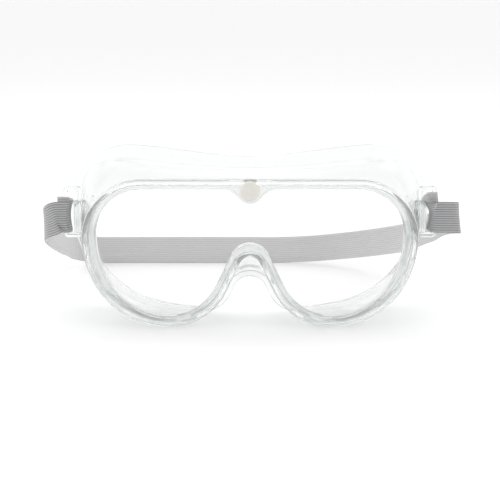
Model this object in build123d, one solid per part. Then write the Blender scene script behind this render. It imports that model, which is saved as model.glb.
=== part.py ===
"""Clear splash goggles: a soft moulded frame, a flat lens held by a groove and a brow stud, and an
elastic headband on two swivelling strap rings.

Millimetres. The goggles stand on their rim, face lip and headband. X runs to the right seen from the
front, Y from the lens back to the headband, and Z up. Names with left and right are also as seen
from the front. The origin is on the standing surface, in the middle of the ground that the goggles
cover.
"""

from build123d import *
import os
from dataclasses import dataclass, replace
from math import cos, radians, sin

os.makedirs("parts", exist_ok=True)


@dataclass
class Outline:
    """Half of a symmetric goggle outline seen from the front: a brow line that may dip in the middle,
    a corner arc, three side arcs, the lobe's inner arc, a straight nose flank and the nose arc."""

    half_width: float
    top: float
    brow_dip: float
    corner_radius: float
    side_turn: float
    cheek_turn: float
    cheek_radius: float
    lobe_x: float
    lobe_z: float
    lobe_radius: float
    flank_angle: float
    nose_radius: float


# Front rim. The radii of every outline's corner and cheek follow its height.
rim_half_width = 82.0
rim_height = 73.5
rim_corner = 0.39 * rim_height
rim_cheek = 0.554 * rim_height
rim = Outline(rim_half_width, rim_height, 0, rim_corner, 29.3, 24.6, rim_cheek, 40, 0, 31.6, 64.5, 5.2)
rim_depth = 8.0
rim_round = 1.8

# Lens opening in the rim, with a band that is narrowest along the brow and widest at the sides
side_band = 6.9
brow_band = 4.3
lobe_band = 5.0
gap_width = rim_half_width - side_band
gap_top = rim_height - brow_band
gap_corner = 0.325 * gap_top
gap_cheek = 0.52 * gap_top
gap = Outline(gap_width, gap_top, 0, gap_corner, 20, 49.4, gap_cheek, 40, lobe_band, 25.3, 64.3, 10.1)

# Lens and its groove
lens_thickness = 1.5
groove_clearance = 0.1
groove_front = 2.2
rim_wall = 2.3
lens_edge_clearance = 0.25

# Brow stud, through both lips of the rim and the lens
stud_below_top = 5.1
stud_head_radius = 4.9
stud_head_thickness = 1.3
stud_shank_radius = 1.5
stud_bore_clearance = 0.05
tab_margin = 1.4
tab_fillet = 12.0
cap_radius = 3.6
cap_thickness = 1.4
cap_recess = 0.6

# Side wall, from the rim back to the face, and its outlines halfway and past the face
wall = 1.8
wall_inset = 1.2
wall_root = 7.0
wall_middle = 27.0
wall_end = 50.0
middle_width = rim_half_width + 2.4
middle_top = rim_height + 4.9
middle_corner = 0.351 * middle_top
middle_cheek = 0.523 * middle_top
middle = Outline(middle_width, middle_top, 1.2, middle_corner, 26, 51, middle_cheek, 26, 1.7, 14, 73.5, 12)
back_width = rim_half_width + 6.5
back_top = rim_height + 9.0
back_corner = 0.267 * back_top
back_cheek = 0.473 * back_top
back = Outline(back_width, back_top, 3, back_corner, 15, 57, back_cheek, 24, 2, 12, 73.5, 11.5)

# Face lip: the outer edge that rests on the brow, temples and cheeks
lip_width = rim_half_width + 11.3
lip_top = rim_height + 12.5
lip_corner = 0.39 * lip_top
lip_cheek = 0.547 * lip_top
lip = Outline(lip_width, lip_top, 4.6, lip_corner, 36, 50, lip_cheek, 26.5, 0, 18.5, 67.5, 9)
lip_thickness = 1.8
face_depth = 27.0
face_radius = 195.0

# Strap rings, each with a round inner bar that snaps into the frame's side hook
ring_height = 26.0
ring_bottom = 0.548 * rim_height
ring_thickness = 2.4
ring_width = 9.2
ring_bar_radius = 1.2
ring_cross_bar = 2.3
ring_corner = 1.1
ring_pin_y = 27.0

# Side hooks of the frame
hook_clearance = 0.05
hook_stand_off = 0.25
hook_wall = 1.6
hook_mouth = 1.8
hook_height = 16.0
hook_gap = 0.4
hook_foot = 4.4

# Elastic headband: webbing on edge, folded round the outer bar of each ring
strap_width = 15.8
strap_thickness = 1.2
strap_bar_gap = 0.15
strap_bottom = ring_bottom + 2.6
strap_leg = 4.2
strap_tail = 6.0
strap_past_ring = 20.1
strap_back = 144.0


def half_outline(o):
    """The right half of an outline as joined edges, from the middle of the brow to the nose."""
    brow_end = o.half_width - o.corner_radius
    brow_middle, shoulder = (0, o.top - o.brow_dip), (brow_end, o.top)
    if o.brow_dip:
        brow = Spline(brow_middle, shoulder, tangents=((1, 0), (1, 0)))
    else:
        brow = Line(brow_middle, shoulder)
    corner = JernArc(shoulder, (1, 0), o.corner_radius, -90)

    # The outer side turns through 90 degrees in three arcs, and the first and last radii close it.
    first, last = radians(o.side_turn), radians(o.side_turn + o.cheek_turn)
    across = o.half_width - o.lobe_x - (cos(first) - cos(last)) * o.cheek_radius
    down = o.top - o.corner_radius - o.lobe_z - (sin(last) - sin(first)) * o.cheek_radius
    a, b, c, d = 1 - cos(first), cos(last), sin(first), 1 - sin(last)
    side_radius = (across * d - b * down) / (a * d - b * c)
    lobe_outer_radius = (a * down - c * across) / (a * d - b * c)
    lobe_turn = 90 - o.side_turn - o.cheek_turn
    side = JernArc(corner @ 1, corner % 1, side_radius, -o.side_turn)
    cheek = JernArc(side @ 1, side % 1, o.cheek_radius, -o.cheek_turn)
    lobe_outer = JernArc(cheek @ 1, cheek % 1, lobe_outer_radius, -lobe_turn)

    lobe_inner = JernArc((o.lobe_x, o.lobe_z), (-1, 0), o.lobe_radius, -o.flank_angle)
    rise = radians(o.flank_angle)
    start = lobe_inner @ 1
    run = (start.X - o.nose_radius * sin(rise)) / cos(rise)
    end = (o.nose_radius * sin(rise), start.Y + run * sin(rise))
    flank = Line(start, end)
    nose = JernArc(end, (-cos(rise), sin(rise)), o.nose_radius, o.flank_angle)
    return [brow, corner, side, cheek, lobe_outer, lobe_inner, flank, nose]


def outline_face(o):
    """An outline as a flat face."""
    right = half_outline(o)
    left = [mirror(edge, about=Plane.YZ) for edge in right]
    return make_face(right + left)


def inset(o, distance):
    """An outline moved inwards. It turns through the same angles, so its arcs stay concentric."""
    return replace(
        o,
        half_width=o.half_width - distance,
        top=o.top - distance,
        corner_radius=o.corner_radius - distance,
        cheek_radius=o.cheek_radius - distance,
        lobe_z=o.lobe_z + distance,
        lobe_radius=o.lobe_radius - distance,
        nose_radius=o.nose_radius + distance,
    )


def at_depth(face, y):
    """A front-view face stood up at depth y."""
    return Plane.XZ.offset(-y) * face


def plate(face, front, back):
    """A front-view face made solid between two depths."""
    return extrude(at_depth(face, front), amount=front - back)


def lens_opening():
    """The see-through opening, with a tab round the stud in the middle of the brow."""
    opening = outline_face(gap) - Pos(0, stud_z) * Circle(stud_head_radius + tab_margin)
    tab_ends = opening.vertices().filter_by_position(Axis.X, -2 * stud_head_radius, 2 * stud_head_radius)
    tab_ends = [v for v in tab_ends if abs(v.Y - gap.top) < 0.1]
    return fillet(tab_ends, tab_fillet)


def face_region(clearance):
    """The wearer's face as the front of an upright cylinder, some way behind its surface."""
    disc = Pos(0, face_depth + face_radius) * Circle(face_radius - clearance)
    window = Pos(0, face_radius / 2) * Rectangle(2.5 * rim.half_width, face_radius)
    return Pos(0, 0, -lip.top / 2) * extrude(disc & window, amount=2 * lip.top)


def wall_solid(thickness):
    """The hollow's or the wall's outer shape, lofted from the rim to past the face."""
    sections = (
        (wall_root, inset(rim, wall_inset + thickness)),
        (wall_middle, inset(middle, thickness)),
        (wall_end, inset(back, thickness)),
    )
    return loft([at_depth(outline_face(section), y) for y, section in sections])


def side_hook():
    """The right C-shaped hook with its foot on the wall. Its mouth faces forwards."""
    bore = ring_bar_radius + hook_clearance
    outside = bore + hook_wall
    centre = Pos(ring_pin_x, ring_pin_y)
    foot_start = rim.half_width - wall_inset - wall
    foot_length = ring_pin_x - foot_start
    foot = Pos(ring_pin_x - foot_length / 2, ring_pin_y) * Rectangle(foot_length, hook_foot)
    profile = centre * Circle(outside) + foot
    profile -= centre * Circle(bore)
    profile -= Pos(ring_pin_x, ring_pin_y - outside) * Rectangle(hook_mouth, 2 * outside)
    low = ring_bottom + ring_cross_bar + hook_gap
    return extrude(Pos(0, 0, low) * profile, amount=hook_height)


def goggle_frame():
    """The soft clear moulding: rim, wall, face lip, nose arch and side hooks."""
    outer = outline_face(rim)
    opening = lens_opening()
    ring = plate(outer, 0, rim_depth) - plate(opening, 0, rim_depth)
    front_edges = ring.faces().sort_by(Axis.Y)[0]
    ring = fillet(front_edges.outer_wire().edges(), rim_round)

    hollow = wall_solid(wall)
    shell = wall_solid(0) - hollow
    behind_lip = face_region(lip_thickness)
    shell -= behind_lip
    lip_block = plate(outline_face(lip), 0, wall_end + lip_thickness)
    face_lip = (lip_block & face_region(0)) - behind_lip - hollow

    hook = side_hook() - hollow
    body = ring + shell + face_lip + hook + mirror(hook, about=Plane.YZ)
    body -= plate(outline_face(inset(rim, rim_wall)), groove_front, groove_back)
    shank = stud_shank_radius + stud_bore_clearance
    body -= plate(Pos(0, stud_z) * Circle(shank), 0, rim_depth)
    body -= plate(Pos(0, stud_z) * Circle(cap_radius + lens_edge_clearance), cap_seat, rim_depth)
    return body


def lens():
    """The flat clear sheet, with a hole for the stud."""
    sheet = outline_face(inset(rim, rim_wall + lens_edge_clearance))
    sheet -= Pos(0, stud_z) * Circle(stud_shank_radius + stud_bore_clearance)
    front = groove_front + groove_clearance
    return plate(sheet, front, front + lens_thickness)


def lens_stud():
    """The stud's domed head in front of the rim, with its shank."""
    head = plate(Circle(stud_head_radius), -stud_head_thickness, 0)
    head = fillet(head.edges().sort_by(Axis.Y)[0], stud_head_thickness / 2)
    shank = plate(Circle(stud_shank_radius), 0, cap_seat + cap_thickness)
    return Pos(0, 0, stud_z) * (head + shank)


def stud_cap():
    """The washer that closes the stud behind the lens."""
    washer = Circle(cap_radius) - Circle(stud_shank_radius + stud_bore_clearance)
    return Pos(0, 0, stud_z) * plate(washer, cap_seat, cap_seat + cap_thickness)


def strap_ring():
    """The right strap ring: two flat cross bars joined by two round upright bars."""
    blank = RectangleRounded(ring_width, ring_height, ring_corner)
    blank -= Rectangle(ring_width, ring_height - 2 * ring_cross_bar)
    centre_x = ring_pin_x - ring_bar_radius + ring_width / 2
    half = ring_thickness / 2
    ring = plate(Pos(centre_x, ring_middle) * blank, ring_pin_y - half, ring_pin_y + half)
    bar = Cylinder(ring_bar_radius, ring_height - ring_cross_bar)
    for bar_x in (ring_pin_x, outer_bar_x):
        ring += Pos(bar_x, ring_pin_y, ring_middle) * bar
    return ring


def strap_loop():
    """The right end of the webbing, folded round the ring's outer bar, with its tail behind."""
    leg = Line((strap_leg_end, strap_front), (outer_bar_x, strap_front))
    fold = JernArc(leg @ 1, (-1, 0), strap_turn, -180)
    tail = Line(fold @ 1, (outer_bar_x + strap_tail, ring_pin_y + strap_turn))
    web = trace([leg, fold, tail], line_width=strap_thickness)
    return extrude(Pos(0, 0, strap_bottom) * web, amount=strap_width)


def webbing(first, last):
    """The webbing on edge between two points of its path, as a closed ruled solid."""
    sections = []
    for i in range(first, last + 1):
        x, y, height = strap_path[i]
        x0, y0 = strap_path[max(i - 1, 0)][:2]
        x1, y1 = strap_path[min(i + 1, len(strap_path) - 1)][:2]
        along = level(x - x0, y - y0) + level(x1 - x, y1 - y)
        across = Vector(-along.Y, along.X, 0).normalized() * (strap_thickness / 2)
        low, rise = Vector(x, y, height), Vector(0, 0, strap_width)
        corners = (low - across, low + across, low + across + rise, low - across + rise)
        sections.append(make_face(Polyline(*corners, close=True)))
    return loft(sections, ruled=True)


def level(x, y):
    """The unit direction of a level run, or nothing at either end of the path."""
    run = Vector(x, y, 0)
    return run.normalized() if run.length else run


# Places that follow from the sizes above
stud_z = rim.top - stud_below_top
groove_back = groove_front + lens_thickness + 2 * groove_clearance
cap_seat = rim_depth - cap_recess - cap_thickness
ring_middle = ring_bottom + ring_height / 2
ring_pin_x = middle_width + hook_stand_off + hook_clearance + ring_bar_radius
outer_bar_x = ring_pin_x + ring_width - 2 * ring_bar_radius
strap_turn = ring_bar_radius + strap_bar_gap + strap_thickness / 2
strap_front = ring_pin_y - strap_turn
strap_leg_end = outer_bar_x + strap_leg
strap_side = ring_pin_x + strap_past_ring - strap_thickness / 2
strap_rear = strap_back - strap_thickness / 2
strap_depth = strap_rear - strap_front

# The webbing's middle line. It leaves each ring sideways, bends back past the lip, sinks along the
# sides and lies on the surface behind the goggles. Each point is laid out by x, by its depth behind
# the leg and by its share of the lower edge's height at the rings.
left_bend_layout = [
    (-strap_leg_end, 0, 1),
    (-strap_leg_end - 1, 0, 0.995),
    (6.0 - strap_side, 0.5, 0.97),
    (3.2 - strap_side, 2.6, 0.937),
    (1.3 - strap_side, 6.6, 0.895),
    (0.2 - strap_side, 13, 0.83),
    (-strap_side, 22, 0.746),
    (-strap_side, 32, 0.66),
    (-strap_side, 41, 0.59),
]
rear_layout = [
    (-strap_side, 0.456 * strap_depth, 0.494),
    (0.2 - strap_side, 0.575 * strap_depth, 0.389),
    (0.7 - strap_side, 0.71 * strap_depth, 0.28),
    (2.2 - strap_side, 0.828 * strap_depth, 0.163),
    (6.5 - strap_side, 0.939 * strap_depth, 0.061),
    (13.7 - strap_side, 0.986 * strap_depth, 0.012),
    (24.5 - strap_side, strap_depth, 0),
    (-0.43 * strap_side, strap_depth, 0),
    (-0.13 * strap_side, strap_depth, 0),
    (0.17 * strap_side, strap_depth, 0),
    (0.36 * strap_side, 0.98 * strap_depth, 0.033),
    (0.52 * strap_side, 0.931 * strap_depth, 0.098),
    (0.66 * strap_side, 0.851 * strap_depth, 0.186),
    (strap_side - 24, 0.743 * strap_depth, 0.294),
    (strap_side - 16, 0.611 * strap_depth, 0.415),
    (strap_side - 11, 0.476 * strap_depth, 0.569),
]
right_bend_layout = [
    (strap_side - 6.8, 41, 0.705),
    (strap_side - 4.7, 28, 0.825),
    (strap_side - 2.6, 16, 0.91),
    (strap_side - 0.9, 8, 0.957),
    (strap_side, 4.2, 0.975),
    (strap_side - 0.3, 1.9, 0.987),
    (strap_side - 1.4, 0.45, 0.995),
    (strap_leg_end + 2, 0, 1),
    (strap_leg_end, 0, 1),
]
strap_path = [
    (x, strap_front + depth, height * strap_bottom)
    for x, depth, height in left_bend_layout + rear_layout + right_bend_layout
]
rear_start = len(left_bend_layout) - 1
rear_end = len(left_bend_layout) + len(rear_layout)

right_ring = strap_ring()
right_loop = strap_loop()
parts = {
    "goggle_frame": goggle_frame(),
    "lens": lens(),
    "lens_stud": lens_stud(),
    "stud_cap": stud_cap(),
    "left_buckle": mirror(right_ring, about=Plane.YZ),
    "right_buckle": right_ring,
    "left_strap_loop": mirror(right_loop, about=Plane.YZ),
    "right_strap_loop": right_loop,
    "left_strap_bend": webbing(0, rear_start),
    "headband": webbing(rear_start, rear_end),
    "right_strap_bend": webbing(rear_end, len(strap_path) - 1),
}

# Everything above is drawn from the rim's front face. The ground's middle becomes the origin.
ground_middle = (strap_back - stud_head_thickness) / 2
for name, part in parts.items():
    export_step(Pos(0, -ground_middle, 0) * part, f"parts/{name}.step")
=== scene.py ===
import math

import bmesh
import bpy
import numpy as np
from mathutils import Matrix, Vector


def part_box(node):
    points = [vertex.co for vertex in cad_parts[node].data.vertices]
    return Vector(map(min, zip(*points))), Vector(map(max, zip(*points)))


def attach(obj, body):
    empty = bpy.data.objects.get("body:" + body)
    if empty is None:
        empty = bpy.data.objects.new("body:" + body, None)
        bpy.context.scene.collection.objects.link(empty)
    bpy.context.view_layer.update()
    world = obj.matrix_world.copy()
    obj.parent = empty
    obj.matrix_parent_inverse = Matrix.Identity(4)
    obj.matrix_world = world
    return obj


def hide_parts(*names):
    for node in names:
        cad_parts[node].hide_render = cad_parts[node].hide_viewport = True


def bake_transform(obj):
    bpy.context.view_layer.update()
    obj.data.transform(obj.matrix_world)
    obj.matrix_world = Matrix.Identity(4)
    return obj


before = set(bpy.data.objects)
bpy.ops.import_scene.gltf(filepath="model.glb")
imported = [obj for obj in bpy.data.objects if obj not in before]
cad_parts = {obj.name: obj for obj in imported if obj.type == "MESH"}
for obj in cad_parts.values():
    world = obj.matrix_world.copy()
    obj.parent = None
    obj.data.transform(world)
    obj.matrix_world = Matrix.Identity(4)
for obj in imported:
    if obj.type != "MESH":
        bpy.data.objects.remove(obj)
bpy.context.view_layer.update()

# The camera looks slightly down on the goggles from the front, square to the lens. Lengths below
# are in millimetres behind the rim's front face, and to_frame takes them into the row frame.
STUD_HEAD_THICKNESS = 0.0013
RIM_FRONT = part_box("lens_stud")[0].y + STUD_HEAD_THICKNESS


def to_frame(points):
    """Points measured in millimetres from the rim's front face, in the row frame."""
    return np.asarray(points, float) / 1000 + np.array([0, RIM_FRONT, 0])


camera_data = bpy.data.cameras.new("camera")
camera_data.lens = 89.07
camera_data.sensor_width = 36
camera = bpy.data.objects.new("camera", camera_data)
bpy.context.scene.collection.objects.link(camera)
bpy.context.scene.camera = camera
look_down = math.radians(12.5)
look_at = Vector((0, RIM_FRONT, 0.0395))
camera.location = look_at + 0.6 * Vector((0, -math.cos(look_down), math.sin(look_down)))
camera.rotation_euler = (math.radians(90) - look_down, 0, 0)


# The frame is one soft clear vinyl moulding: a thick rim with a groove for the lens, a thin side
# wall that runs back to the face, and a flared lip that seals on the brow, temples and cheeks.
# The nose notch is arched through all three.
RIM = (82.0, 73.5, 0, 28.7, 29.3, 24.6, 40.7, 40, 0, 31.6, 64.5, 5.2)
GAP = (75.1, 69.2, 0, 22.5, 20, 49.4, 36.0, 40, 5, 25.3, 64.3, 10.1)
WALL_MIDDLE = (84.4, 78.4, 1.2, 27.5, 26, 51, 41.0, 26, 1.7, 14, 73.5, 12)
WALL_PAST_FACE = (88.5, 82.5, 3, 22.0, 15, 57, 39.0, 24, 2, 12, 73.5, 11.5)
LIP = (93.3, 86.0, 4.6, 33.5, 36, 50, 47.0, 26.5, 0, 18.5, 67.5, 9)
BROW_STEPS = np.r_[np.linspace(0, 0.28, 13)[:-1], np.linspace(0.28, 1, 9)]
STUD_Z = 68.4
TAB_RADIUS = 6.3
TAB_FILLET = 12.0
BROW_EDGE = GAP[1]


def outline(half_width, top, dip, corner, side_turn, cheek_turn, cheek, lobe_x, lobe_z, lobe, flank, nose):
    """The right half of a front-view outline, from the brow's middle to the nose: x, z, facing."""
    first, last = math.radians(side_turn), math.radians(side_turn + cheek_turn)
    across = half_width - lobe_x - (math.cos(first) - math.cos(last)) * cheek
    down = top - corner - lobe_z - (math.sin(last) - math.sin(first)) * cheek
    a, b, c, d = 1 - math.cos(first), math.cos(last), math.sin(first), 1 - math.sin(last)
    side = (across * d - b * down) / (a * d - b * c)
    lobe_outer = (a * down - c * across) / (a * d - b * c)
    brow_end = half_width - corner
    x = list(brow_end * BROW_STEPS)
    z = list(top - dip * (1 - (3 * BROW_STEPS**2 - 2 * BROW_STEPS**3)))
    facing = list(math.pi / 2 + np.arctan(dip * 6 * BROW_STEPS * (1 - BROW_STEPS) / brow_end))

    def arc(radius, turn, steps):
        """Goes on round an arc. A positive turn is clockwise, with the centre inside the outline."""
        start, sign = facing[-1], math.copysign(1, turn)
        cx, cz = x[-1] - sign * radius * math.cos(start), z[-1] - sign * radius * math.sin(start)
        for angle in np.linspace(start, start - math.radians(turn), steps + 1)[1:]:
            x.append(cx + sign * radius * math.cos(angle))
            z.append(cz + sign * radius * math.sin(angle))
            facing.append(angle)

    arc(corner, 90, 12)
    arc(side, side_turn, 5)
    arc(cheek, cheek_turn, 9)
    arc(lobe_outer, 90 - side_turn - cheek_turn, 7)
    arc(lobe, flank, 10)
    rise = math.radians(flank)
    run = (x[-1] - nose * math.sin(rise)) / math.cos(rise)
    start_x, start_z = x[-1], z[-1]
    for share in np.linspace(0, 1, 7)[1:]:
        x.append(start_x - share * run * math.cos(rise))
        z.append(start_z + share * run * math.sin(rise))
        facing.append(facing[-1])
    arc(nose, -flank, 7)
    return np.array(x), np.array(z), np.array(facing)


def inset(shape, distance, depth):
    """An outline moved inwards and stood at a depth, as rows of x, y, z."""
    x, z, facing = shape
    inner_x, inner_z = x - distance * np.cos(facing), z - distance * np.sin(facing)
    return np.stack([inner_x, np.broadcast_to(depth, x.shape), inner_z], axis=1)


def face_depth(x, radius=195.0):
    """Depth of the wearer's face behind the rim's front, at a distance x from the middle."""
    return 222 - np.sqrt(radius**2 - np.clip(np.abs(x), 0, 110) ** 2)


rim_shape, gap_shape, lip_shape = outline(*RIM), outline(*GAP), outline(*LIP)
wall_shapes = [outline(*RIM), outline(*WALL_MIDDLE), outline(*WALL_PAST_FACE)]


def wall_at(depth, thickness):
    """The wall's surface at a depth for each station, bent smoothly from the rim to past the face."""
    shares = (
        (depth - 27) * (depth - 50) / ((7 - 27) * (7 - 50)),
        (depth - 7) * (depth - 50) / ((27 - 7) * (27 - 50)),
        (depth - 7) * (depth - 27) / ((50 - 7) * (50 - 27)),
    )
    facing = sum(share * shape[2] for share, shape in zip(shares, wall_shapes))
    point = 0
    for share, shape, start in zip(shares, wall_shapes, (1.2, 0, 0)):
        point = point + share[:, None] * inset(shape, start, 0)
    point[:, 1] = depth
    point[:, 0] -= thickness * np.cos(facing)
    point[:, 2] -= thickness * np.sin(facing)
    return point


def crease(thickness, radius):
    """Depth at which the wall meets the lip's front or rear surface."""
    depth = np.full(len(rim_shape[0]), 30.0)
    for _ in range(30):
        depth = face_depth(wall_at(depth, thickness)[:, 0], radius)
    return depth


def opening(extra, depth):
    """The lens opening's edge, moved outwards a little, with the tab round the stud."""
    edge = inset(gap_shape, -extra, depth)
    out = np.abs(edge[:, 0])
    tab = STUD_Z - np.sqrt(np.clip((TAB_RADIUS - extra) ** 2 - out**2, 0, None))
    fillet_x = math.sqrt((TAB_RADIUS + TAB_FILLET) ** 2 - (STUD_Z - BROW_EDGE + TAB_FILLET) ** 2)
    reach = TAB_FILLET + extra
    fillet = BROW_EDGE - TAB_FILLET + np.sqrt(np.clip(reach**2 - (out - fillet_x) ** 2, 0, None))
    join = fillet_x * (TAB_RADIUS - extra) / (TAB_RADIUS + TAB_FILLET)
    near = (edge[:, 2] > 55) & (out < fillet_x)
    edge[:, 2] = np.where(near, np.where(out < join, tab, fillet), edge[:, 2])
    return edge


def between(outer, inner, share):
    """A row of points part of the way from one row to another."""
    return outer + share * (inner - outer)


front_crease, rear_crease = crease(0, 195.0), crease(1.8, 193.2)
lip_edge = inset(lip_shape, 0, 0)
lip_edge[:, 1] = face_depth(lip_edge[:, 0])
crease_line = wall_at(front_crease, 0)
inner_line = wall_at(rear_crease, 1.8)


def lip_row(start, share, radius, lift=0.0):
    """A row across the lip, from the crease towards the lip's edge, on its front or rear face."""
    row = between(start, lip_edge, share)
    row[:, 1] = face_depth(row[:, 0], radius) + lift
    return row


rows = [opening(0, 1.5), opening(0, 0.5), opening(0.12, 0.1), opening(0.6, 0)]
rows += [inset(rim_shape, d, y) for d, y in ((2.9, 0), (2.0, 0), (1.0, 0.12), (0.3, 0.6), (0, 1.7))]
rows += [inset(rim_shape, d, y) for d, y in ((0, 4.5), (0, 7.2), (0.1, 7.75), (0.5, 8.0), (0.95, 8.1))]
rows += [wall_at(8.3 + share * (front_crease - 8.3), 0) for share in (0, 0.05, 0.2, 0.4, 0.6, 0.8, 0.93)]
rows += [lip_row(crease_line, share, 195.0, lift) for share, lift in ((0.02, -0.5), (0.12, -0.08))]
rows += [lip_row(crease_line, share, 195.0) for share in (0.35, 0.65, 0.88, 0.97)]
rows += [lip_row(crease_line, share, 195.0, lift) for share, lift in ((1.0, 0.35), (1.0, 1.45))]
rows += [lip_row(inner_line, share, 193.2) for share in (0.97, 0.85, 0.6, 0.35)]
rows += [lip_row(inner_line, 0.12, 193.2, -0.05), lip_row(inner_line, 0.02, 193.2, -0.6)]
rows += [wall_at(8.5 + share * (rear_crease - 8.5), 1.8) for share in (0.9, 0.75, 0.55, 0.35, 0.15, 0.03)]
rows += [inset(rim_shape, 3.1, 8.05), opening(0.6, 8.0), opening(0.12, 7.88), opening(0, 7.4)]
rows += [opening(0, 4.7), opening(0.1, 4.05), opening(0.5, 3.92)]
rows += [inset(rim_shape, d, y) for d, y in ((2.9, 3.92), (2.4, 3.85), (2.3, 3.4), (2.3, 2.7), (2.4, 2.24))]
rows += [inset(rim_shape, 2.9, 2.18), opening(0.5, 2.18), opening(0.1, 2.05)]

half_rows = np.stack(rows)
half_rows[:, [0, -1], 0] = 0
mirrored = half_rows[:, -2:0:-1] * [-1, 1, 1]
frame_rows = np.concatenate([half_rows, mirrored], axis=1)


def closed_grid(name, grid, smooth=True):
    """A mesh object from rows of points, closed round the rows and from the last row to the first."""
    count, around = grid.shape[:2]
    faces = []
    for i in range(count):
        for j in range(around):
            k, m = (i + 1) % count, (j + 1) % around
            faces.append((i * around + j, i * around + m, k * around + m, k * around + j))
    mesh = bpy.data.meshes.new(name)
    mesh.from_pydata(to_frame(grid.reshape(-1, 3)).tolist(), [], faces)
    made = bmesh.new()
    made.from_mesh(mesh)
    bmesh.ops.recalc_face_normals(made, faces=made.faces)
    made.to_mesh(mesh)
    made.free()
    mesh.polygons.foreach_set("use_smooth", [smooth] * len(mesh.polygons))
    piece = bpy.data.objects.new(name, mesh)
    bpy.context.scene.collection.objects.link(piece)
    return piece


soft_frame = closed_grid("soft_frame", frame_rows)
rounding = soft_frame.modifiers.new("rounding", "SUBSURF")
rounding.levels = rounding.render_levels = 2


def socket(node_tree, name, kind, direction, value=None):
    """A socket on a node group's own interface."""
    made = node_tree.interface.new_socket(name=name, in_out=direction, socket_type=kind)
    if value is not None:
        made.default_value = value
    return made


# Moulded plastic is never quite flat: the skin has slow ripples, and the gloss varies in patches.
moulded_skin = bpy.data.node_groups.new("moulded_skin", "ShaderNodeTree")
socket(moulded_skin, "Ripple Size", "NodeSocketFloat", "INPUT", 200.0)
socket(moulded_skin, "Ripple Height", "NodeSocketFloat", "INPUT", 0.1)
socket(moulded_skin, "Dullest", "NodeSocketFloat", "INPUT", 0.1)
socket(moulded_skin, "Glossiest", "NodeSocketFloat", "INPUT", 0.03)
socket(moulded_skin, "Normal", "NodeSocketVector", "OUTPUT")
socket(moulded_skin, "Roughness", "NodeSocketFloat", "OUTPUT")
skin_in = moulded_skin.nodes.new("NodeGroupInput")
skin_out = moulded_skin.nodes.new("NodeGroupOutput")
skin_place = moulded_skin.nodes.new("ShaderNodeTexCoord")
ripple = moulded_skin.nodes.new("ShaderNodeTexNoise")
ripple.inputs["Detail"].default_value = 1.5
ripple_bump = moulded_skin.nodes.new("ShaderNodeBump")
ripple_bump.inputs["Distance"].default_value = 0.001
patches = moulded_skin.nodes.new("ShaderNodeTexNoise")
patches.inputs["Scale"].default_value = 60
patch_range = moulded_skin.nodes.new("ShaderNodeMapRange")
patch_range.inputs["From Min"].default_value = 0.35
patch_range.inputs["From Max"].default_value = 0.65
join = moulded_skin.links.new
join(skin_place.outputs["Object"], ripple.inputs["Vector"])
join(skin_in.outputs["Ripple Size"], ripple.inputs["Scale"])
join(ripple.outputs["Fac"], ripple_bump.inputs["Height"])
join(skin_in.outputs["Ripple Height"], ripple_bump.inputs["Strength"])
join(ripple_bump.outputs["Normal"], skin_out.inputs["Normal"])
join(skin_place.outputs["Object"], patches.inputs["Vector"])
join(patches.outputs["Fac"], patch_range.inputs["Value"])
join(skin_in.outputs["Glossiest"], patch_range.inputs["To Min"])
join(skin_in.outputs["Dullest"], patch_range.inputs["To Max"])
join(patch_range.outputs["Result"], skin_out.inputs["Roughness"])


def clear_plastic(name, colour, ior, ripple_size, ripple_height, dullest, glossiest, shade, straight=0.0):
    """A clear moulded plastic, with the skin group for its ripples. Shade is the light it lets past,
    and straight is the share of light that goes through without bending."""
    material = bpy.data.materials.new(name)
    material.use_nodes = True
    tree = material.node_tree
    shader = tree.nodes["Principled BSDF"]
    shader.inputs["Base Color"].default_value = (*colour, 1)
    shader.inputs["Transmission Weight"].default_value = 1
    shader.inputs["IOR"].default_value = ior
    skin = tree.nodes.new("ShaderNodeGroup")
    skin.node_tree = moulded_skin
    skin.inputs["Ripple Size"].default_value = ripple_size
    skin.inputs["Ripple Height"].default_value = ripple_height
    skin.inputs["Dullest"].default_value = dullest
    skin.inputs["Glossiest"].default_value = glossiest
    tree.links.new(skin.outputs["Normal"], shader.inputs["Normal"])
    tree.links.new(skin.outputs["Roughness"], shader.inputs["Roughness"])
    light_path = tree.nodes.new("ShaderNodeLightPath")
    see_through = tree.nodes.new("ShaderNodeBsdfTransparent")
    see_through.inputs["Color"].default_value = (*shade, 1)
    at_least = tree.nodes.new("ShaderNodeMath")
    at_least.operation = "MAXIMUM"
    at_least.inputs[1].default_value = straight
    tree.links.new(light_path.outputs["Is Shadow Ray"], at_least.inputs[0])
    choice = tree.nodes.new("ShaderNodeMixShader")
    tree.links.new(at_least.outputs["Value"], choice.inputs["Fac"])
    tree.links.new(shader.outputs["BSDF"], choice.inputs[1])
    tree.links.new(see_through.outputs["BSDF"], choice.inputs[2])
    tree.links.new(choice.outputs["Shader"], tree.nodes["Material Output"].inputs["Surface"])
    return material


soft_vinyl = clear_plastic(
    "soft_vinyl", (0.91, 0.93, 0.92), 1.46, 70, 0.04, 0.07, 0.02, (0.95, 0.96, 0.955), straight=0.1
)
soft_frame.data.materials.append(soft_vinyl)
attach(soft_frame, "root")
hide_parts("goggle_frame")


# Two C-shaped hooks stand on the side walls, moulded with the frame. Each is open to the front,
# so that a strap ring's round bar snaps in from there.
HOOK_X, HOOK_Y, HOOK_LOW = 85.9, 27.0, 43.0


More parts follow.
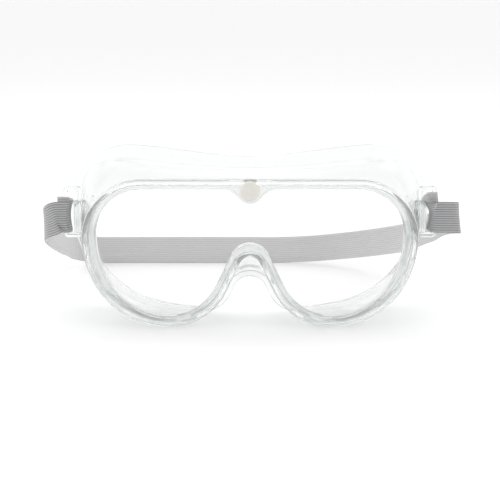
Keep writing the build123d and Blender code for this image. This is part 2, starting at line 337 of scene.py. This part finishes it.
def hook(name, side):
    """One C-shaped hook with its foot on the wall, as closed rings from its lower to its upper end."""
    bore, outside, foot = 1.25, 2.85, 2.2
    side_wall = wall_at(np.full(len(rim_shape[0]), HOOK_Y), 0)[20:44]
    mouth, foot_angle = math.asin(0.9 / bore), math.asin(foot / outside)
    outer_mouth = math.asin(0.9 / outside)
    near_arc = np.linspace(math.pi - foot_angle, outer_mouth - math.pi / 2, 22)
    bore_arc = np.linspace(mouth - math.pi / 2, 1.5 * math.pi - mouth, 26)
    far_arc = np.linspace(1.5 * math.pi - outer_mouth, math.pi + foot_angle, 8)
    levels = ((0, 0.5), (0.08, 0.2), (0.35, 0), (4, 0), (8, 0), (12, 0), (15.65, 0), (15.92, 0.2), (16, 0.5))
    rings = []
    for rise, shrink in levels:
        z = HOOK_LOW + rise
        wall_x = np.interp(-z, -side_wall[:, 2], side_wall[:, 0]) + 0.05
        reaches = np.r_[[outside - shrink] * 22, [bore + 0.4 * shrink] * 26, [outside - shrink] * 8]
        angles = np.r_[near_arc, bore_arc, far_arc]
        x, y = HOOK_X + reaches * np.cos(angles), HOOK_Y + reaches * np.sin(angles)
        x = np.r_[x, wall_x, wall_x]
        y = np.r_[y, HOOK_Y - foot + 0.6 * shrink, HOOK_Y + foot - 0.6 * shrink]
        rings.append(np.stack([side * x, y, np.full(len(x), z)], axis=1))
    return closed_ends(name, np.array(rings))


def closed_ends(name, grid):
    """A mesh object from rings of points stacked along a piece, with a face over each end."""
    count, around = grid.shape[:2]
    faces = [tuple(range(around)), tuple((count - 1) * around + j for j in range(around))]
    for i in range(count - 1):
        for j in range(around):
            m = (j + 1) % around
            faces.append((i * around + j, i * around + m, (i + 1) * around + m, (i + 1) * around + j))
    mesh = bpy.data.meshes.new(name)
    mesh.from_pydata(to_frame(grid.reshape(-1, 3)).tolist(), [], faces)
    made = bmesh.new()
    made.from_mesh(mesh)
    bmesh.ops.recalc_face_normals(made, faces=made.faces)
    made.to_mesh(mesh)
    made.free()
    mesh.polygons.foreach_set("use_smooth", [True] * len(mesh.polygons))
    mesh.polygons[0].use_smooth = mesh.polygons[1].use_smooth = False
    piece = bpy.data.objects.new(name, mesh)
    bpy.context.scene.collection.objects.link(piece)
    return piece


for side, name in ((-1, "left_hook"), (1, "right_hook")):
    side_hook = hook(name, side)
    side_hook.data.materials.append(soft_vinyl)
    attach(side_hook, "root")
    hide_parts("goggle_frame")


# The lens is a flat sheet of clear polycarbonate, sprung into the rim's groove. It is the packed
# sheet itself, with a polished, very slightly warm finish.
clear_sheet = clear_plastic(
    "clear_sheet", (0.965, 0.955, 0.963), 1.5, 12, 0.004, 0.012, 0.0, (0.97, 0.97, 0.97)
)
lens_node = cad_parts["lens"]
lens_node.data.materials.clear()
lens_node.data.materials.append(clear_sheet)


# A nylon stud pins the lens to the tab in the middle of the brow: a low domed head in front with
# its shank through the lens, and a washer pressed on behind. The nylon is natural, milky and matt.
def turned(name, profile, sides=64):
    """A piece turned round the stud's axis from a profile of (radius, depth) points."""
    grid = []
    for radius, depth in profile:
        angles = np.linspace(0, 2 * math.pi, sides, endpoint=False)
        grid.append([(radius * math.cos(a), depth, STUD_Z + radius * math.sin(a)) for a in angles])
    return np.array(grid)


milky_nylon = bpy.data.materials.new("milky_nylon")
milky_nylon.use_nodes = True
nylon_tree = milky_nylon.node_tree
nylon = nylon_tree.nodes["Principled BSDF"]
nylon.inputs["Subsurface Weight"].default_value = 0.35
nylon.inputs["Subsurface Scale"].default_value = 0.002
nylon.inputs["Specular IOR Level"].default_value = 0.35
nylon_skin = nylon_tree.nodes.new("ShaderNodeGroup")
nylon_skin.node_tree = moulded_skin
nylon_skin.inputs["Ripple Size"].default_value = 900
nylon_skin.inputs["Ripple Height"].default_value = 0.15
nylon_skin.inputs["Dullest"].default_value = 0.62
nylon_skin.inputs["Glossiest"].default_value = 0.45
nylon_tree.links.new(nylon_skin.outputs["Normal"], nylon.inputs["Normal"])
nylon_tree.links.new(nylon_skin.outputs["Roughness"], nylon.inputs["Roughness"])
cloud = nylon_tree.nodes.new("ShaderNodeTexNoise")
cloud.inputs["Scale"].default_value = 350
cloud_place = nylon_tree.nodes.new("ShaderNodeTexCoord")
cloud_colour = nylon_tree.nodes.new("ShaderNodeValToRGB")
cloud_colour.color_ramp.elements[0].position = 0.3
cloud_colour.color_ramp.elements[0].color = (0.78, 0.77, 0.72, 1)
cloud_colour.color_ramp.elements[1].position = 0.7
cloud_colour.color_ramp.elements[1].color = (0.84, 0.83, 0.78, 1)
nylon_tree.links.new(cloud_place.outputs["Object"], cloud.inputs["Vector"])
nylon_tree.links.new(cloud.outputs["Fac"], cloud_colour.inputs["Fac"])
nylon_tree.links.new(cloud_colour.outputs["Color"], nylon.inputs["Base Color"])

head_profile = [(0.05, -1.12), (1.6, -1.16), (2.6, -1.24), (3.4, -1.3), (4.1, -1.27), (4.55, -1.08),
                (4.82, -0.75), (4.9, -0.4), (4.86, -0.12), (4.7, 0.0), (3.0, 0.0), (1.5, 0.0),
                (1.5, 3.8), (1.5, 7.2), (1.35, 7.38), (0.05, 7.4)]
stud = closed_ends("stud", turned("stud", head_profile))
stud.data.materials.append(milky_nylon)
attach(stud, "root")
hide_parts("lens_stud")

washer_profile = [(1.56, 6.02), (3.3, 6.02), (3.55, 6.12), (3.6, 6.35), (3.6, 7.0), (3.5, 7.28),
                  (3.25, 7.38), (2.2, 7.4), (1.75, 7.32), (1.56, 7.15)]
washer = closed_grid("stud_washer", turned("washer", washer_profile))
washer.data.materials.append(milky_nylon)
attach(washer, "root")
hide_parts("stud_cap")


# Each strap ring is a clear rigid moulding: two upright round bars, one held by the frame's hook
# and one for the webbing, joined by a flat cross bar at the top and at the bottom.
clear_ring = clear_plastic(
    "clear_ring", (0.95, 0.965, 0.96), 1.49, 260, 0.1, 0.08, 0.02, (0.93, 0.94, 0.94)
)


def strap_ring(name, side):
    """A ring as a section swept round a small upright rectangle: round bars, squarer cross bars."""
    left, right, low, high, turn = 85.9, 92.7, 41.45, 65.15, 0.9
    path = []
    corners = ((right, high, 0), (right, low, 1), (left, low, 2), (left, high, 3))
    for cx, cz, quarter in corners:
        inner_x = cx - turn if cx == right else cx + turn
        inner_z = cz - turn if cz == high else cz + turn
        for step in np.linspace(0, 1, 6):
            angle = math.pi / 2 - (quarter + step) * math.pi / 2
            path.append((inner_x + turn * math.cos(angle), inner_z + turn * math.sin(angle), angle))
        if quarter in (0, 2):
            far = low + turn if quarter == 0 else high - turn
            near = path[-1]
            for share in (0.05, 0.2, 0.5, 0.8, 0.95):
                path.append((near[0], near[1] + share * (far - near[1]), near[2]))
        else:
            far = left + turn if quarter == 1 else right - turn
            near = path[-1]
            for share in (0.2, 0.5, 0.8):
                path.append((near[0] + share * (far - near[0]), near[1], near[2]))
    rings = []
    for px, pz, angle in path:
        upright = abs(math.cos(angle)) ** 2
        power = 2 / (5 - 3 * upright)
        section = []
        for t in np.linspace(0, 2 * math.pi, 24, endpoint=False):
            c, s = math.cos(t), math.sin(t)
            out = 1.15 * math.copysign(abs(c) ** power, c)
            deep = 1.19 * math.copysign(abs(s) ** power, s)
            section.append((side * (px + out * math.cos(angle)), HOOK_Y + deep, pz + out * math.sin(angle)))
        rings.append(section)
    return closed_grid(name, np.array(rings))


for side, word in ((-1, "left"), (1, "right")):
    ring = strap_ring(word + "_ring", side)
    ring.data.materials.append(clear_ring)
    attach(ring, word + "_ring")
    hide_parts(word + "_buckle")


# The headband is grey elastic webbing, woven with fine lengthwise ribs. Each end is folded round
# the outer bar of its ring, and the tail stands a little above the strap. It is one length, drawn
# as two halves that meet behind.
STRAP_WIDTH = 15.8
STRAP_LOW = 42.9
WEBBING_RIBS = 13
RING_BAR_X = 92.7
FOLD_RADIUS = 1.95
RIGHT_END_LEAN = 0.12
LEFT_RUN = [(-96.9, 25.05, 42.9), (-97.9, 25.05, 42.7), (-99.4, 25.55, 41.6), (-102.2, 27.65, 40.2),
            (-104.1, 31.65, 38.4), (-105.2, 38.05, 35.6), (-105.4, 47.05, 32), (-105.4, 57.05, 28.3),
            (-105.4, 66.05, 25.3), (-105.4, 79, 21.2), (-105.2, 93.1, 16.7), (-104.7, 109.1, 12),
            (-103.2, 123, 7), (-98.9, 136.2, 2.6), (-91.7, 141.7, 0.5), (-80.9, 143.4, 0.05),
            (-45.3, 143.4, 0.05), (-13.7, 143.4, 0.05), (0, 143.4, 0.05)]
RIGHT_RUN = [(96.9, 25.05, 42.9), (98.9, 25.05, 42.9), (104, 25.5, 42.7), (105.1, 26.95, 42.3),
             (105.4, 29.25, 41.8), (104.5, 33.05, 41), (102.8, 41.05, 39), (100.7, 53.05, 35.4),
             (98.6, 66.05, 30.2), (94.4, 81.4, 24.4), (89.4, 97.4, 17.8), (81.4, 113, 12.6), (69.6, 125.8, 8),
             (54.8, 135.2, 4.2), (37.9, 141, 1.4), (17.9, 143.4, 0.05), (0, 143.4, 0.05)]


def smooth_run(points, spacing):
    """Points at an even spacing on a smooth curve through the given ones."""
    points = np.array(points, float)
    gaps = np.linalg.norm(np.diff(points, axis=0), axis=1) ** 0.5
    knots = np.r_[0, np.cumsum(gaps)]
    padded = np.vstack([2 * points[0] - points[1], points, 2 * points[-1] - points[-2]])
    ends = np.r_[-gaps[0], knots, knots[-1] + gaps[-1]]
    dense = []
    for i in range(1, len(points)):
        p0, p1, p2, p3 = padded[i - 1:i + 3]
        t0, t1, t2, t3 = ends[i - 1:i + 3]
        for t in np.linspace(t1, t2, 40, endpoint=False):
            a1 = (t1 - t) / (t1 - t0) * p0 + (t - t0) / (t1 - t0) * p1
            a2 = (t2 - t) / (t2 - t1) * p1 + (t - t1) / (t2 - t1) * p2
            a3 = (t3 - t) / (t3 - t2) * p2 + (t - t2) / (t3 - t2) * p3
            b1 = (t2 - t) / (t2 - t0) * a1 + (t - t0) / (t2 - t0) * a2
            b2 = (t3 - t) / (t3 - t1) * a2 + (t - t1) / (t3 - t1) * a3
            dense.append((t2 - t) / (t2 - t1) * b1 + (t - t1) / (t2 - t1) * b2)
    dense = np.array(dense + [points[-1]])
    along = np.r_[0, np.cumsum(np.linalg.norm(np.diff(dense, axis=0), axis=1))]
    wanted = np.linspace(0, along[-1], max(2, int(along[-1] / spacing)))
    return np.stack([np.interp(wanted, along, dense[:, k]) for k in range(3)], axis=1)


def rib_section(steps=6):
    """The webbing's cross section as (across, through) points: ribs on both faces, soft edges."""
    top = []
    count = WEBBING_RIBS * steps
    for i in range(count + 1):
        across = -STRAP_WIDTH / 2 + 0.25 + (STRAP_WIDTH - 0.5) * i / count
        ridge = abs(math.sin(math.pi * i / steps)) ** 0.7
        top.append((across, 0.40 + 0.17 * ridge))
    edge = [(STRAP_WIDTH / 2 - 0.05, 0.25), (STRAP_WIDTH / 2, 0.0), (STRAP_WIDTH / 2 - 0.05, -0.25)]
    bottom = [(a, -t) for a, t in reversed(top)]
    return top + edge + bottom + [(-a, -t) for a, t in edge]


def webbing(name, run, side, tail_rise, tail_length):
    """Half of the webbing, from its tail round the ring's bar and back to the middle behind."""
    bar = side * RING_BAR_X
    fold = []
    for step in np.linspace(0, 1, 13):
        angle = math.pi / 2 + math.pi * step
        fold.append((bar + side * FOLD_RADIUS * math.cos(angle), HOOK_Y + FOLD_RADIUS * math.sin(angle),
                     STRAP_LOW + tail_rise * (1 - step) ** 1.5))
    tail = [(bar + side * tail_length * share, HOOK_Y + FOLD_RADIUS, STRAP_LOW + tail_rise)
            for share in (1, 0.8, 0.6, 0.4, 0.2)]
    centre = smooth_run(tail + fold + run, 0.8)
    centre[:, 2] += STRAP_WIDTH / 2
    along = np.gradient(centre, axis=0)
    along /= np.linalg.norm(along, axis=1)[:, None]
    up = np.array([0, 0, 1.0]) - along * along[:, 2:3]
    up /= np.linalg.norm(up, axis=1)[:, None]
    through = np.cross(along, up)
    section = np.array(rib_section())
    grid = centre[:, None] + up[:, None] * section[None, :, :1] + through[:, None] * section[None, :, 1:]
    if side > 0:
        # The right end hangs with its top a little inwards.
        near_ring = np.clip((45 - centre[:, 1]) / 15, 0, 1)[:, None]
        grid[:, :, 0] -= RIGHT_END_LEAN * near_ring * (grid[:, :, 2] - centre[:, None, 2])
    grid[:, :, 2] = np.maximum(grid[:, :, 2], 0.02)
    piece = closed_ends(name, grid)
    length = np.r_[0, np.cumsum(np.linalg.norm(np.diff(centre, axis=0), axis=1))]
    marks = piece.data.attributes.new("weave", "FLOAT_VECTOR", "POINT")
    values = np.zeros((len(centre), len(section), 3))
    values[:, :, 0] = length[:, None]
    values[:, :, 1] = section[None, :, 0]
    values[:, :, 2] = -side * section[None, :, 1]
    marks.data.foreach_set("vector", values.ravel())
    return piece, length[-1]


grey_elastic = bpy.data.materials.new("grey_elastic")
grey_elastic.use_nodes = True
elastic_tree = grey_elastic.node_tree
elastic = elastic_tree.nodes["Principled BSDF"]
elastic.inputs["Sheen Weight"].default_value = 0.3
elastic.inputs["Sheen Roughness"].default_value = 0.5
elastic.inputs["Roughness"].default_value = 0.75
elastic.inputs["Specular IOR Level"].default_value = 0.3
wire = elastic_tree.links.new
weave_place = elastic_tree.nodes.new("ShaderNodeAttribute")
weave_place.attribute_name = "weave"
weave_axes = elastic_tree.nodes.new("ShaderNodeSeparateXYZ")
wire(weave_place.outputs["Vector"], weave_axes.inputs["Vector"])


def elastic_math(operation, first, second=None):
    """A math node in the webbing's material."""
    node = elastic_tree.nodes.new("ShaderNodeMath")
    node.operation = operation
    for index, value in enumerate((first, second)):
        if value is None:
            continue
        if isinstance(value, (int, float)):
            node.inputs[index].default_value = value
        else:
            wire(value, node.inputs[index])
    return node.outputs[0]


picks = elastic_math("ABSOLUTE", elastic_math("SINE", elastic_math("MULTIPLY", weave_axes.outputs["X"], 6.0)))
from_edge = elastic_math("ADD", weave_axes.outputs["Y"], 7.65)
rib_phase = elastic_math("MULTIPLY", from_edge, math.pi * WEBBING_RIBS / 15.3)
rib_light_mask = elastic_math("ABSOLUTE", elastic_math("SINE", rib_phase))
fuzz_place = elastic_tree.nodes.new("ShaderNodeMapping")
fuzz_place.inputs["Scale"].default_value = (0.5, 3, 1)
wire(weave_place.outputs["Vector"], fuzz_place.inputs["Vector"])
fuzz = elastic_tree.nodes.new("ShaderNodeTexNoise")
fuzz.inputs["Scale"].default_value = 2.2
fuzz.inputs["Detail"].default_value = 4
wire(fuzz_place.outputs["Vector"], fuzz.inputs["Vector"])
fuzz_share = elastic_math("MULTIPLY", fuzz.outputs["Fac"], 0.45)
# Painted rib light: the rib pattern paints shade into the grooves and a highlight onto the ribs, and the fuzz
# adds random tone.
rib_light_and_fuzz = elastic_math("ADD", elastic_math("MULTIPLY", rib_light_mask, 0.55), fuzz_share)


def painted_rib_light_ramp(darkest, palest):
    """A ramp of grey for one face of the webbing, from painted shade in the grooves to a painted highlight on
    the ribs, with the fuzz's random tone mixed in.
    """
    ramp = elastic_tree.nodes.new("ShaderNodeValToRGB")
    ramp.color_ramp.elements[0].position = 0.12
    ramp.color_ramp.elements[0].color = (*darkest, 1)
    ramp.color_ramp.elements[1].position = 0.85
    ramp.color_ramp.elements[1].color = (*palest, 1)
    wire(rib_light_and_fuzz, ramp.inputs["Fac"])
    return ramp.outputs["Color"]


# The outer face is painted darker than the face towards the head, as painted shade for the face that turns
# away from the lights: lit and shaded copies of one grey webbing.
inner_face = elastic_tree.nodes.new("ShaderNodeMapRange")
inner_face.inputs["From Min"].default_value = -0.3
inner_face.inputs["From Max"].default_value = 0.3
wire(weave_axes.outputs["Z"], inner_face.inputs["Value"])
shaded_and_lit_faces = elastic_tree.nodes.new("ShaderNodeMix")
shaded_and_lit_faces.data_type = "RGBA"
wire(inner_face.outputs["Result"], shaded_and_lit_faces.inputs["Factor"])
# The first ramp is the outer face, darkened by painted shade; the second is the lit face towards the head.
wire(painted_rib_light_ramp((0.1, 0.1, 0.102), (0.56, 0.56, 0.57)), shaded_and_lit_faces.inputs["A"])
wire(painted_rib_light_ramp((0.5, 0.495, 0.5), (0.68, 0.675, 0.68)), shaded_and_lit_faces.inputs["B"])
wire(shaded_and_lit_faces.outputs["Result"], elastic.inputs["Base Color"])
elastic_height = elastic_math("ADD", elastic_math("MULTIPLY", picks, 0.5), fuzz.outputs["Fac"])
elastic_bump = elastic_tree.nodes.new("ShaderNodeBump")
elastic_bump.inputs["Strength"].default_value = 0.35
elastic_bump.inputs["Distance"].default_value = 0.0002
wire(elastic_height, elastic_bump.inputs["Height"])
wire(elastic_bump.outputs["Normal"], elastic.inputs["Normal"])

for side, word, run, rise, tail in ((-1, "left", LEFT_RUN, 2.0, 4.4), (1, "right", RIGHT_RUN, 4.5, 2.6)):
    half, reach = webbing(word + "_webbing", run, side, rise, tail)
    half.data.materials.append(grey_elastic)
    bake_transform(half)
    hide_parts(word + "_strap_loop", word + "_strap_bend", "headband")
    print(word, "webbing", round(reach), "mm")


# The goggles stand on a seamless white table under a wide overhead softbox, with a tall softbox
# at each side and a paler wall behind them than behind the camera.
floor_mesh = bpy.data.meshes.new("table_top")
floor_mesh.from_pydata([(-60, -60, 0), (60, -60, 0), (60, 60, 0), (-60, 60, 0)], [], [(0, 1, 2, 3)])
table_top = bpy.data.objects.new("table_top", floor_mesh)
bpy.context.scene.collection.objects.link(table_top)
white_table = bpy.data.materials.new("white_table")
white_table.use_nodes = True
white_table.node_tree.nodes["Principled BSDF"].inputs["Base Color"].default_value = (0.97, 0.97, 0.97, 1)
white_table.node_tree.nodes["Principled BSDF"].inputs["Roughness"].default_value = 0.7
white_table.node_tree.nodes["Principled BSDF"].inputs["Specular IOR Level"].default_value = 0.1
floor_mesh.materials.append(white_table)

studio = bpy.data.worlds.new("studio")
bpy.context.scene.world = studio
studio.use_nodes = True
studio_tree = studio.node_tree
sky = studio_tree.nodes["Background"]
sky.inputs["Color"].default_value = (1, 1, 1, 1)
sky_place = studio_tree.nodes.new("ShaderNodeTexCoord")
sky_axes = studio_tree.nodes.new("ShaderNodeSeparateXYZ")
sky_range = studio_tree.nodes.new("ShaderNodeMapRange")
sky_range.inputs["From Min"].default_value = -0.9
sky_range.inputs["From Max"].default_value = 0.3
sky_range.inputs["To Min"].default_value = 0.6
sky_range.inputs["To Max"].default_value = 1.14
studio_tree.links.new(sky_place.outputs["Generated"], sky_axes.inputs["Vector"])
studio_tree.links.new(sky_axes.outputs["Y"], sky_range.inputs["Value"])
studio_tree.links.new(sky_range.outputs["Result"], sky.inputs["Strength"])


def softbox(name, place, aim, width, height, power):
    """A rectangular softbox at a place, turned towards a point."""
    lamp = bpy.data.lights.new(name, "AREA")
    lamp.shape = "RECTANGLE"
    lamp.size, lamp.size_y, lamp.energy = width, height, power
    box = bpy.data.objects.new(name, lamp)
    box.location = place
    box.rotation_euler = (Vector(aim) - Vector(place)).to_track_quat("-Z", "Y").to_euler()
    bpy.context.scene.collection.objects.link(box)


softbox("overhead", (0, 0.1, 1.1), (0, 0, 0), 1.4, 1.2, 2.4)
softbox("left_side", (-0.9, -0.3, 0.5), (0, 0, 0.04), 0.25, 0.9, 1)
softbox("right_side", (0.9, -0.2, 0.5), (0, 0, 0.04), 0.25, 0.9, 0.8)
bpy.context.scene.view_settings.view_transform = "Standard"
